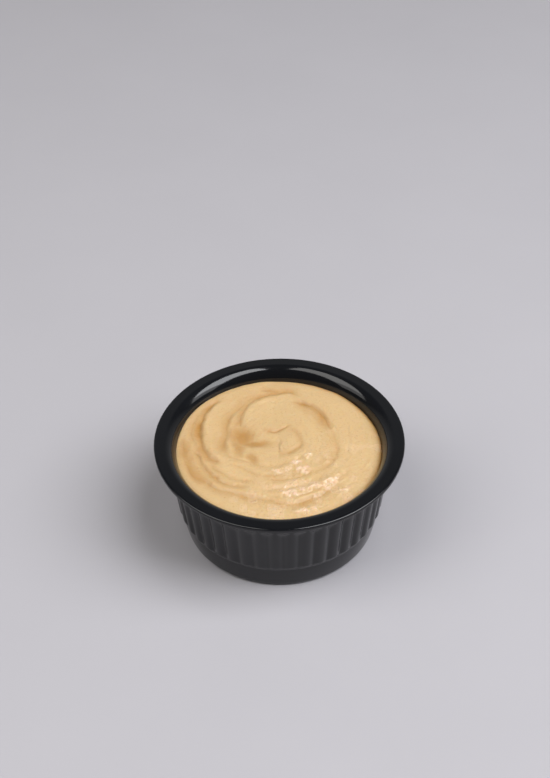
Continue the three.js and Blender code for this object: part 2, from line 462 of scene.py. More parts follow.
def arc(centre: tuple[float, float], semi: tuple[float, float], start: float, end: float,
        steps: int) -> list[tuple[float, float]]:
    """Points along part of an ellipse in the turned outline's plane.

    Args:
        centre: The ellipse's centre, as radius and height.
        semi: Its radial and vertical semi-axes.
        start: First angle, in degrees from the radial direction.
        end: Last angle.
        steps: How many steps it is cut into.

    Returns:
        The points, both ends included.
    """
    angles = np.radians(np.linspace(start, end, steps + 1))
    radii = centre[0] + semi[0] * np.cos(angles)
    heights = centre[1] + semi[1] * np.sin(angles)
    return list(zip(radii.tolist(), heights.tolist()))


@dataclass(frozen=True)
class OutlineSteps:
    """How many steps each stretch of the ramekin's outline is cut into, named for the stretch."""

    base_corner: int = 7
    foot: int = 9
    wall_foot: int = 12
    wall: int = 8
    above_lobes: int = 5
    fillet: int = 5
    lower_edge: int = 5
    upper_edge: int = 6
    roll: int = 26
    inner_corner: int = 7


@dataclass
class Ramekin:
    """The black ramekin: flat flanged rim, rolled inner edge, lobed body and plain foot.

    Attributes:
        height: From the base to the rim.
        rim_radius: Outer radius of the flange.
        lip: The flange's thickness.
        lip_rounds: Radii of the flange's upper and lower outer edges.
        lip_fillet: Radius between the flange's underside and the body.
        roll_start: Radius where the flat rim starts to roll into the wall.
        roll: The rolled edge's radial and vertical semi-axes, a quarter of an ellipse.
        inner_taper: Radius lost for each millimetre down the inner wall.
        inner_corner: Radius between the inner wall and the floor.
        floor: The floor's thickness.
        ledge: Radius and height of the foot band's top, where the lobed wall starts.
        body_taper: Radius lost for each millimetre down the lobed wall.
        foot_curve: Radius of the foot band's arc, parallel to the lobed wall at its top.
        base_corner: Radius of the base's edge.
        wall_rise: How far the lobed wall stands out from the foot band.
        wall_foot: Height of its rounded lower edge.
        lobes: How many upright convex lobes there are.
        crease_depth: Depth of the creases between them, almost down to the foot band.
        lobe_power: Power of a lobe's section: more is flatter in the middle.
        crease_phase: Azimuth of the first crease, from the front (-Y).
        lobe_top: Height where the creases have run out.
        lobe_runout: Height over which they run out.
        base_loops: Where the base has loops, as shares of the radius where its edge starts.
        under_loops: How far the loops under the flange are from its fillet and its edge.
        rim_loops: Radii of the loops across the flat rim.
        steps: How finely the outline is cut.
        columns: Quads across one lobe.
        weld: Distance within which the joints of the repeated lobe are welded.
        finish: What it is made of.
    """

    height: float = 36.5
    rim_radius: float = 41.5
    lip: float = 1.5
    lip_rounds: tuple[float, float] = (0.5, 0.45)
    lip_fillet: float = 0.8
    roll_start: float = 38.0
    roll: tuple[float, float] = (4.2, 7.3)
    inner_taper: float = 0.12
    inner_corner: float = 6.0
    floor: float = 3.2
    ledge: tuple[float, float] = (34.0, 10.2)
    body_taper: float = 0.113
    foot_curve: float = 83.0
    base_corner: float = 1.9
    wall_rise: float = 0.7
    wall_foot: float = 1.2
    lobes: int = 44
    crease_depth: float = 0.68
    lobe_power: float = 3.0
    crease_phase: float = 1.0
    lobe_top: float = 29.4
    lobe_runout: float = 2.6
    base_loops: tuple[float, ...] = (0.3, 0.7, 0.93, 0.985)
    under_loops: tuple[float, float] = (0.3, 0.4)
    rim_loops: tuple[float, ...] = (40.7, 39.6, 38.4)
    steps: OutlineSteps = OutlineSteps()
    columns: int = 16
    weld: float = 0.002
    finish: MouldedMelamine = MouldedMelamine()

    @property
    def wall_top(self) -> float:
        """Height where the inner wall ends and the rolled edge starts."""
        return self.height - self.roll[1]

    def roll_radius(self, height: float | Array, off: float) -> float | Array:
        """Radius of the rolled inner edge.

        Args:
            height: At which height, from the foot of the roll up to the rim.
            off: Distance from the wall towards the axis.

        Returns:
            The radius at that height and distance.
        """
        rise = (height - self.wall_top) / (self.roll[1] + off)
        return self.roll_start - (self.roll[0] + off) * np.sqrt(1 - rise ** 2)

    def inner_outline(self, off: float, steps: int) -> list[tuple[float, float]]:
        """The inside below the rolled edge, from the wall's top down to the axis.

        Args:
            off: Distance from the wall towards the axis.
            steps: How many steps the corner is cut into.

        Returns:
            Points of radius and height.
        """
        wall_top = self.wall_top
        corner_top = self.floor + self.inner_corner
        wall_foot = self.roll_start - self.roll[0] - self.inner_taper * (wall_top - corner_top)
        centre = (wall_foot - self.inner_corner, corner_top)
        size = self.inner_corner - off
        corner = arc(centre, (size, size), 0, -90, steps)
        middle = (wall_foot - off + self.roll_radius(wall_top, off)) / 2
        return [(middle, (wall_top + corner_top) / 2), *corner, (centre[0] / 2, self.floor + off)]

    def foot_centre(self) -> tuple[float, float]:
        """Radius and height of the centre of the foot band's arc."""
        lean = math.atan(self.body_taper)
        return (self.ledge[0] - self.foot_curve * math.cos(lean),
                self.ledge[1] + self.foot_curve * math.sin(lean))

    def outer_radius(self, height: float) -> float:
        """Radius of the outside at a height, still without the wall's rise."""
        ledge_radius, ledge_height = self.ledge
        if height >= ledge_height:
            return ledge_radius + self.body_taper * (height - ledge_height)
        centre_radius, centre_height = self.foot_centre()
        return centre_radius + math.sqrt(self.foot_curve ** 2 - (height - centre_height) ** 2)

    def outer_outline(self) -> list[tuple[float, float]]:
        """The base, the foot band and the wall, still without its rise, up to the flange."""
        steps = self.steps
        curve_radius, curve_height = self.foot_centre()
        reach = self.foot_curve - self.base_corner
        turn = math.asin((self.base_corner - curve_height) / reach)
        centre = (curve_radius + reach * math.cos(turn), self.base_corner)
        size = (self.base_corner, self.base_corner)
        corner = arc(centre, size, -90, math.degrees(turn), steps.base_corner)
        foot, top = self.ledge[1], self.lobe_top
        fillet_foot = self.height - self.lip - self.lip_fillet
        turns = np.linspace(0, math.pi / 2, steps.wall_foot + 1)     # the creases' run-out too
        heights = np.concatenate([
            np.linspace(corner[-1][1], foot, steps.foot + 1)[1:-1],
            foot + self.wall_foot * (1 - np.cos(turns)),
            np.linspace(foot + self.wall_foot, top - self.lobe_runout, steps.wall + 1)[1:-1],
            top - self.lobe_runout * (1 - np.sin(turns)),
            np.linspace(top, fillet_foot, steps.above_lobes + 1)[1:-1],
        ])
        base = [(centre[0] * share, 0.0) for share in self.base_loops]
        return [*base, *corner, *((self.outer_radius(z), z) for z in heights.tolist())]

    def flange_outline(self) -> list[tuple[float, float]]:
        """The flange and the rolled edge, from the lobed wall over the rim to the inside."""
        steps = self.steps
        under = self.height - self.lip
        upper, lower = self.lip_rounds
        fillet_height = under - self.lip_fillet
        fillet_radius = self.outer_radius(fillet_height) + self.wall_rise + self.lip_fillet
        fillet = (self.lip_fillet, self.lip_fillet)
        lower_centre = (self.rim_radius - lower, under + lower)
        upper_centre = (self.rim_radius - upper, self.height - upper)
        return [
            *arc((fillet_radius, fillet_height), fillet, 180, 90, steps.fillet),
            (fillet_radius + self.under_loops[0], under),
            (lower_centre[0] - self.under_loops[1], under),
            *arc(lower_centre, (lower, lower), -90, 0, steps.lower_edge),
            *arc(upper_centre, (upper, upper), 0, 90, steps.upper_edge),
            *((radius, self.height) for radius in self.rim_loops),
            *arc((self.roll_start, self.wall_top), self.roll, 90, 180, steps.roll),
        ]

    def stand_out(self, share: Array, height: Array) -> Array:
        """How far the lobed wall stands out from the foot band.

        Args:
            share: Place across a lobe, from 0 at its middle to 1 or -1 at its creases.
            height: Height on the wall.

        Returns:
            The distance, with the wall's foot rounded and the creases run out at the top.
        """
        aside = np.abs(share)
        crease = aside ** self.lobe_power * (self.lobe_power + 1 - self.lobe_power * aside)
        past = np.clip((height - self.lobe_top) / self.lobe_runout + 1, 0, 1)
        above = np.clip((height - self.ledge[1]) / self.wall_foot, 0, 1)
        wall = self.wall_rise - self.crease_depth * crease * np.sqrt(1 - past ** 2)
        return wall * np.sqrt(1 - (1 - above) ** 2)

    def sector(self) -> bpy.types.Object:
        """Makes the wedge of the ramekin that holds one lobe, centred on the front (-Y)."""
        outside = self.outer_outline()
        inside = self.inner_outline(0, self.steps.inner_corner)
        outline = np.array([*outside, *self.flange_outline(), *inside])
        radii, heights = outline[:, 0, None], outline[:, 1, None]
        even = np.linspace(-1, 1, self.columns + 1)
        spread = (even + np.sin(even * math.pi / 2)) / 2     # closer together at the creases
        azimuths = spread[None, :] * math.pi / self.lobes
        walled = (np.arange(len(outline)) < len(outside))[:, None]
        radii = radii + np.where(walled, self.stand_out(spread[None, :], heights), 0)
        points = np.stack([radii * np.sin(azimuths), -radii * np.cos(azimuths),
                           heights + 0 * azimuths], axis=-1).reshape(-1, 3)

        columns = self.columns + 1
        rows = len(outline)
        poles = np.array([[0, 0, 0], [0, 0, self.floor]])
        faces = grid_faces(rows, columns, closed=False)
        base, floor = rows * columns, rows * columns + 1
        last = (rows - 1) * columns
        for column in range(self.columns):
            faces.append((base, column + 1, column))
            faces.append((floor, last + column, last + column + 1))
        wedge = mesh_object("ramekin_body", np.concatenate([points, poles]), faces)
        outer = np.repeat(walled[:, 0], columns)
        base_and_floor = [1, 0]
        set_attribute(wedge, "outside", np.concatenate([outer, base_and_floor]))
        return wedge

    def ring_tree(self) -> bpy.types.NodeTree:
        """Builds the tree that repeats one wedge all round +Z and welds the joints."""
        tree, given = geometry_tree("lobes_round_the_axis", {
            "Count": ("NodeSocketInt", self.lobes),
            "First Azimuth": ("NodeSocketFloat", 0.0),
            "Weld Distance": ("NodeSocketFloat", 0.0),
            "Material": ("NodeSocketMaterial", None),
        })
        pitch = add_node(tree, "ShaderNodeMath", {
            0: math.tau, 1: given.outputs["Count"]}, operation="DIVIDE")
        index = add_node(tree, "GeometryNodeInputIndex")
        angle = add_node(tree, "ShaderNodeMath", {
            0: index.outputs["Index"], 1: pitch.outputs["Value"],
            2: given.outputs["First Azimuth"]}, operation="MULTIPLY_ADD")
        turn = add_node(tree, "ShaderNodeCombineXYZ", {"Z": angle.outputs["Value"]})
        turn = add_node(tree, "FunctionNodeEulerToRotation", {"Euler": turn.outputs["Vector"]})
        axis = add_node(tree, "GeometryNodePoints", {"Count": given.outputs["Count"]})
        copies = add_node(tree, "GeometryNodeInstanceOnPoints", {
            "Points": axis.outputs["Points"], "Instance": given.outputs["Geometry"],
            "Rotation": turn.outputs["Rotation"]})
        solid = add_node(tree, "GeometryNodeRealizeInstances", {
            "Geometry": copies.outputs["Instances"]})
        welded = add_node(tree, "GeometryNodeMergeByDistance", {
            "Geometry": solid.outputs["Geometry"], "Distance": given.outputs["Weld Distance"]})
        dressed = add_node(tree, "GeometryNodeSetMaterial", {
            "Geometry": welded.outputs["Geometry"], "Material": given.outputs["Material"]})
        add_node(tree, "NodeGroupOutput", {"Geometry": dressed.outputs["Geometry"]})
        return tree

    def build(self) -> bpy.types.Object:
        """Makes the whole ramekin, which stands for its solid.

        Returns:
            The finished object.
        """
        obj = apply_tree(self.sector(), self.ring_tree(), {
            "Count": self.lobes,
            "First Azimuth": math.radians(self.crease_phase) + math.pi / self.lobes,
            "Weld Distance": self.weld * MM,
            "Material": self.finish.material(),
        })
        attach(obj, BODY)
        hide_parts("ramekin")
        return obj


# ---- Hummus -----------------------------------------------------------------------------


@dataclass(frozen=True)
class Pattern:
    """One smooth random pattern over the hummus.

    Attributes:
        cell: Size of one of its cells.
        seed: Picks the pattern.
        shift: How far it is moved along both axes, which picks the stretch that is used.
    """

    cell: float
    seed: int
    shift: float = 60.0

    def at(self, x: Array, y: Array) -> Array:
        """The pattern's values at some places, from -1 to 1."""
        return smooth_noise(x + self.shift, y + self.shift, self.cell, self.seed)


PATTERNS: dict[str, Pattern] = {
    "swell": Pattern(8.0, 3),
    "drag on the right": Pattern(1.1, 5),
    "drag on the left": Pattern(1.1, 6),
    "coarse grain": Pattern(1.3, 7),
    "fine grain": Pattern(0.7, 9),
    "drag's bend": Pattern(6.0, 11),
    "moist patches": Pattern(3.0, 21),
    "wiped edge": Pattern(7.0, 31, 90.0),
    "wiped edge, fine": Pattern(2.6, 33, 90.0),
    "wander in x": Pattern(4.0, 41),
    "wander in x, fine": Pattern(1.4, 42),
    "wander in y": Pattern(4.0, 43),
    "wander in y, fine": Pattern(1.4, 44),
    "pressure": Pattern(4.5, 47),
    "oil streaks": Pattern(0.9, 61),
}


@dataclass(frozen=True)
class SpoonStroke:
    """One stroke of the spoon: a crease, with the paste lapped up on one side of it.

    Attributes:
        path: Places along the crease, which a smooth curve joins.
        widths: How wide its slopes are, on the left and the right of the way it runs.
        depth: The crease's depth.
        bank: Height of the paste lapped up on its left, or on its right when below 0.
        tint: How much painted shade, in the hollow's colour, shows in it, from 0 to 1.
        softness: How far its sharp bottom is rounded.
        slope_power: Power of its slopes: more is steeper.
        tint_power: Below 1, the tint reaches further up the slopes than the depth does.
        bank_place: How far aside the lapped paste stands highest.
        bank_width: Half the lapped paste's width.
        run_in: Length over which it forms at each end.
        run_in_share: The most of its whole length that this may be.
    """

    path: tuple[tuple[float, float], ...]
    widths: tuple[float, float]
    depth: float
    bank: float
    tint: float
    softness: float = 0.2
    slope_power: float = 1.6
    tint_power: float = 0.8
    bank_place: float = 1.9
    bank_width: float = 1.15
    run_in: float = 5.0
    run_in_share: float = 0.4

    def curve(self, steps: int = 6) -> Array:
        """Joins the places by a Catmull-Rom curve.

        Args:
            steps: How many steps each span is cut into.

        Returns:
            Points along the curve, one row each.
        """
        knots = np.array([self.path[0], *self.path, self.path[-1]])
        t = np.linspace(0, 1, steps, endpoint=False)[:, None]
        spans = []
        for a, b, c, d in zip(knots, knots[1:], knots[2:], knots[3:]):
            spans.append(0.5 * (2 * b + (c - a) * t + (2 * a - 5 * b + 4 * c - d) * t ** 2
                                + (3 * b - a - 3 * c + d) * t ** 3))
        return np.concatenate([*spans, knots[-1:]])

    def trace(self, x: Array, y: Array) -> tuple[Array, Array]:
        """Finds where places lie beside the stroke.

        Args:
            x: The places' first coordinates.
            y: Their second coordinates.

        Returns:
            How far aside each lies, positive on the left of the way the stroke runs, and
            how fully the stroke is formed there, from 0 at its ends to 1.
        """
        line = self.curve()
        reach = np.concatenate([[0], np.cumsum(np.hypot(*np.diff(line, axis=0).T))])
        nearest, aside, along = np.full(x.shape, np.inf), np.zeros(x.shape), np.zeros(x.shape)
        for start, end, passed in zip(line, line[1:], reach):
            span = end - start
            length = math.hypot(*span)
            ahead = ((x - start[0]) * span[0] + (y - start[1]) * span[1]) / length
            across = ((y - start[1]) * span[0] - (x - start[0]) * span[1]) / length
            held = np.clip(ahead, 0, length)
            distance = np.hypot(ahead - held, across)
            closer = distance < nearest
            nearest = np.where(closer, distance, nearest)
            aside = np.where(closer, np.where(across < 0, -distance, distance), aside)
            along = np.where(closer, passed + held, along)
        run = min(self.run_in, self.run_in_share * reach[-1])
        return aside, smoothstep(along, 0, run) * smoothstep(reach[-1] - along, 0, run)

    def press(self, x: Array, y: Array, strength: Array) -> tuple[Array, Array]:
        """Works out what the stroke leaves.

        Args:
            x: The places' first coordinates.
            y: Their second coordinates.
            strength: How hard the spoon pressed there, where 1 is usual.

        Returns:
            The relief's height, and how much painted shade, in the hollow's colour, shows.
        """
        aside, formed = self.trace(x, y)
        formed = formed * strength
        width = np.where(aside > 0, *self.widths)
        groove = formed * np.exp(-(np.hypot(aside, self.softness) / width) ** self.slope_power)
        lapped = (aside * np.sign(self.bank) - self.bank_place) / self.bank_width
        relief = abs(self.bank) * formed * np.exp(-lapped ** 2) - self.depth * groove
        return relief, self.tint * groove ** self.tint_power


STROKES: dict[str, SpoonStroke] = {
    "wall trough": SpoonStroke(
        ((-31.8, 6.7), (-32.3, 2.6), (-32.1, -1.6), (-31.0, -5.9), (-29.1, -10.2),
         (-26.1, -14.3), (-22.1, -17.7)), (2.4, 1.6), 0.45, 0.0, 0.6),
    "left sweep": SpoonStroke(
        ((-19.8, 25.6), (-22.7, 22.0), (-25.2, 17.5), (-26.3, 13.1), (-26.6, 8.7), (-26.2, 4.3),
         (-25.3, 0.7), (-23.9, -2.4), (-22.2, -4.7), (-19.3, -7.5)),
        (0.75, 1.9), 0.85, 0.3, 0.85),
    "left sweep's outer line": SpoonStroke(
        ((-24.8, 22.1), (-27.4, 18.2), (-28.6, 14.4), (-29.1, 10.1), (-29.0, 5.2), (-28.2, 0.1)),
        (0.6, 1.3), 0.3, 0.1, 0.45),
    "front sweep": SpoonStroke(
        ((-26.1, -14.1), (-22.8, -17.0), (-19.9, -18.8), (-15.8, -20.5), (-11.8, -21.7),
         (-7.8, -23.1), (-1.8, -24.7), (3.3, -25.7), (7.4, -24.7), (11.4, -23.0), (15.5, -20.4),
         (19.9, -16.1)), (0.8, 1.7), 0.6, 0.25, 0.5),
    "front left fold": SpoonStroke(
        ((-28.2, 1.7), (-27.5, -1.7), (-25.6, -6.1), (-23.1, -10.6), (-20.6, -13.9),
         (-17.7, -16.1), (-13.0, -17.6), (-9.0, -18.0)), (0.7, 1.6), 0.55, 0.2, 0.55),
    "front left line": SpoonStroke(
        ((-23.7, -5.5), (-21.7, -8.9), (-19.1, -11.9), (-15.9, -14.0), (-11.6, -15.3),
         (-7.0, -15.3)), (0.6, 1.1), 0.35, 0.15, 0.4),
    "back turn": SpoonStroke(
        ((8.4, 25.3), (4.8, 27.3), (1.2, 28.0), (-3.4, 26.6), (-8.1, 24.1), (-11.2, 21.0),
         (-12.8, 17.2), (-13.1, 13.0), (-12.6, 8.9)), (0.7, 1.6), 0.5, 0.25, 0.6),
    "back turn's outer line": SpoonStroke(
        ((-5.7, 27.2), (-9.9, 24.8), (-13.7, 20.6), (-16.3, 16.1), (-17.4, 11.4), (-17.7, 6.7),
         (-18.5, 1.2), (-17.7, -3.2)), (0.9, 1.8), 0.5, 0.15, 0.6),
    "right turn": SpoonStroke(
        ((4.4, 24.2), (7.0, 23.3), (9.6, 21.6), (12.1, 19.5), (14.2, 16.9), (15.8, 13.7),
         (16.8, 10.7), (17.6, 6.8)), (0.8, 2.1), 1.0, -0.15, 0.95),
    "right turn's tail": SpoonStroke(
        ((17.3, 9.3), (18.5, 4.6), (18.9, 0.1), (18.7, -2.9), (17.7, -6.0), (15.6, -9.0),
         (12.4, -11.6), (6.5, -14.0), (-0.4, -15.1), (-6.2, -14.5)), (0.8, 1.7), 0.4, -0.2, 0.35),
    "back ripple": SpoonStroke(
        ((-7.2, 28.4), (-3.8, 29.2), (-0.5, 29.2), (3.4, 28.8)), (0.9, 0.9), 0.3, 0.0, 0.6),
    "whorl's top": SpoonStroke(
        ((-6.5, 9.7), (-4.3, 9.1), (-1.4, 9.0), (1.6, 10.1), (3.7, 11.0), (5.7, 10.8)),
        (0.55, 0.9), 0.5, 0.08, 0.75),
    "whorl": SpoonStroke(
        ((2.1, 10.2), (3.5, 9.2), (5.1, 7.5), (6.6, 5.3), (7.5, 2.9), (7.2, 0.7), (5.5, -1.0),
         (2.6, -2.4), (-1.1, -3.3)), (0.8, 1.1), 0.45, 0.1, 0.5),
    "inner front": SpoonStroke(
        ((-19.4, 0.6), (-17.3, -2.8), (-13.9, -4.8), (-10.3, -6.2), (-5.3, -8.4), (-0.4, -8.2),
         (4.7, -6.1), (8.6, -3.2)), (0.6, 1.2), 0.3, 0.15, 0.3),
    "inner front's line": SpoonStroke(
        ((-18.5, -5.4), (-15.2, -7.4), (-11.7, -9.7), (-7.7, -11.8), (-3.0, -12.9), (2.0, -12.4),
         (7.0, -10.5)), (0.6, 1.0), 0.2, 0.1, 0.25),
    "front line": SpoonStroke(
        ((-6.0, -21.6), (-2.2, -22.6), (4.2, -22.8), (10.3, -20.8), (14.8, -18.1), (20.5, -13.6),
         (23.0, -9.6)), (0.6, 0.8), 0.35, 0.2, 0.25),
    "front line's ripple": SpoonStroke(
        ((-4.5, -19.4), (-1.0, -19.2), (3.2, -18.8), (7.8, -17.3), (12.0, -15.0), (15.5, -12.2)),
        (0.55, 0.8), 0.3, 0.2, 0.25),
}


@dataclass(frozen=True)
class SpoonMark:
    """A round mark of the spoon: a hollow of its tip, or a moist ridge that it drew up.

    Attributes:
        centre: Where it is.
        half: Its half sizes.
        lean: How far the first of them is turned, in degrees anticlockwise.
        depth: Its depth, below 0 for a ridge.
        tint: A hollow's painted shade, in the hollow's colour, or how moist a ridge is.
        edge_power: Power of its edge: more is steeper.
    """

    centre: tuple[float, float]
    half: tuple[float, float]
    lean: float
    depth: float
    tint: float
    edge_power: float = 1.3

    def share(self, x: Array, y: Array) -> Array:
        """How far inside the mark places lie, from 0 outside it to 1 in its middle."""
        dx, dy = x - self.centre[0], y - self.centre[1]
        cos, sin = math.cos(math.radians(self.lean)), math.sin(math.radians(self.lean))
        u = (dx * cos + dy * sin) / self.half[0]
        v = (dy * cos - dx * sin) / self.half[1]
        return np.exp(-(u ** 2 + v ** 2) ** self.edge_power)


# Hollows of the spoon's tip; their tint is painted shade, in the hollow's colour.
HOLLOWS: tuple[SpoonMark, ...] = (
    SpoonMark((-12.6, 6.2), (4.0, 5.0), 28.0, 1.0, 0.9),
    SpoonMark((-8.6, 2.8), (6.2, 1.9), -8.0, 0.5, 0.85),
    SpoonMark((-13.8, 0.2), (2.1, 4.6), 10.0, 0.35, 0.7),
    SpoonMark((-9.0, -4.6), (1.7, 2.6), 20.0, 0.4, 0.75),
    SpoonMark((-3.4, -12.7), (2.6, 1.0), 10.0, 0.2, 0.35),
)


# Raised moist ridges: glossier, and given a painted glint in a pale colour.
MOIST_RIDGES: tuple[SpoonMark, ...] = (
    SpoonMark((0.4, -10.6), (3.6, 1.8), 12.0, -0.22, 1.0),
    SpoonMark((4.6, -7.6), (5.2, 1.6), 36.0, -0.22, 1.0),
    SpoonMark((9.2, -4.4), (2.0, 2.0), 30.0, -0.18, 1.0),
    SpoonMark((7.6, -10.6), (3.0, 2.1), 8.0, -0.22, 1.0),
    SpoonMark((15.3, -5.0), (1.1, 1.5), 20.0, -0.15, 1.0),
    SpoonMark((3.0, -21.0), (4.8, 2.3), -6.0, -0.22, 1.0),
    SpoonMark((9.0, -19.2), (5.2, 2.2), 24.0, -0.22, 1.0),
    SpoonMark((16.2, -16.8), (5.8, 1.9), 36.0, -0.22, 1.0),
    SpoonMark((8.6, -28.4), (5.4, 1.5), 12.0, -0.18, 1.0),
    SpoonMark((20.8, -20.3), (2.8, 1.6), 40.0, -0.18, 1.0),
)


@dataclass(frozen=True)
class PasteSkin:
    """The fine relief between the strokes, and how moist the skin is.

    Attributes:
        swell: Height of the paste's slow undulation.
        drag: Height of the fine lines that the spoon drags round the whorl.
        drag_bend: How far those lines stray from circles.
        drag_rate: Millimetres of their pattern that a radian passes.
        drag_start: Distances from the whorl's centre where they start and where they are full.
        whorl: The whorl's centre.
        grain: Height of the grain of ground chickpea.
        coarse_grain: Height of its coarse pattern, as a share of the fine one's.
        grain_shares: Share of the grain that shows everywhere, what the front right adds to
            it, and what a moist ridge adds.
        grainy_side: Values of x - y between which the grainier front right begins.
        streaks: Mean and swing of the oil's streaks on the moist ridges.
        patch_edge: The patches' pattern from dry to moist.
        moist_shares: Moistness everywhere, what a patch adds, and what one at the front adds
            besides.
        moist_lean: How much x counts against y towards the moist front.
        moist_side: Values of that sum between which the moist front begins.
    """

    swell: float = 0.18
    drag: float = 0.085
    drag_bend: float = 0.8
    drag_rate: float = 2.0
    drag_start: tuple[float, float] = (2.0, 9.0)
    whorl: tuple[float, float] = (0.0, 4.0)
    grain: float = 0.13
    coarse_grain: float = 0.7
    grain_shares: tuple[float, float, float] = (0.35, 0.3, 0.9)
    grainy_side: tuple[float, float] = (-4.0, 26.0)
    streaks: tuple[float, float] = (0.9, 0.7)
    patch_edge: tuple[float, float] = (-0.1, 0.5)
    moist_shares: tuple[float, float, float] = (0.2, 0.1, 0.35)
    moist_lean: float = 0.6
    moist_side: tuple[float, float] = (-2.0, 20.0)

    def drag_lines(self, x: Array, y: Array) -> Array:
        """Height of the drag lines: two patterns, each faded out where its angle jumps."""
        dx, dy = x - self.whorl[0], y - self.whorl[1]
        radius, angle = np.hypot(dx, dy), np.arctan2(dy, dx)
        bent = radius + self.drag_bend * PATTERNS["drag's bend"].at(x, y)
        right = PATTERNS["drag on the right"].at(bent, angle * self.drag_rate)
        left = PATTERNS["drag on the left"].at(bent, angle % math.tau * self.drag_rate)
        lines = right * np.cos(angle / 2) ** 2 + left * np.sin(angle / 2) ** 2
        return self.drag * smoothstep(radius, *self.drag_start) * lines

    def relief(self, x: Array, y: Array) -> Array:
        """Height of the undulation, the drag lines and the grain."""
        everywhere, side, moist = self.grain_shares
        rough = everywhere + side * smoothstep(x - y, *self.grainy_side)
        rough = rough + moist * self.moisture(x, y)
        grain = self.coarse_grain * PATTERNS["coarse grain"].at(x, y)
        grain = grain + PATTERNS["fine grain"].at(x, y)
        swell = self.swell * PATTERNS["swell"].at(x, y)
        return swell + self.drag_lines(x, y) + self.grain * rough * grain

    def moisture(self, x: Array, y: Array) -> Array:
        """How much oil the moist ridges hold, in streaks, from 0 to 1."""
        streaks = self.streaks[0] + self.streaks[1] * PATTERNS["oil streaks"].at(x, y)
        ridges = np.max([ridge.tint * ridge.share(x, y) for ridge in MOIST_RIDGES], axis=0)
        return np.clip(streaks * ridges, 0, 1)

    def wetness(self, x: Array, y: Array) -> Array:
        """How moist the skin is, from 0 to 1: patches, moister at the front, and ridges."""
        everywhere, patch, front = self.moist_shares
        patches = smoothstep(PATTERNS["moist patches"].at(x, y), *self.patch_edge)
        side = smoothstep(self.moist_lean * x - y, *self.moist_side)
        spread = everywhere + patches * (patch + front * side)
        return np.clip(np.maximum(spread, self.moisture(x, y)), 0, 1)


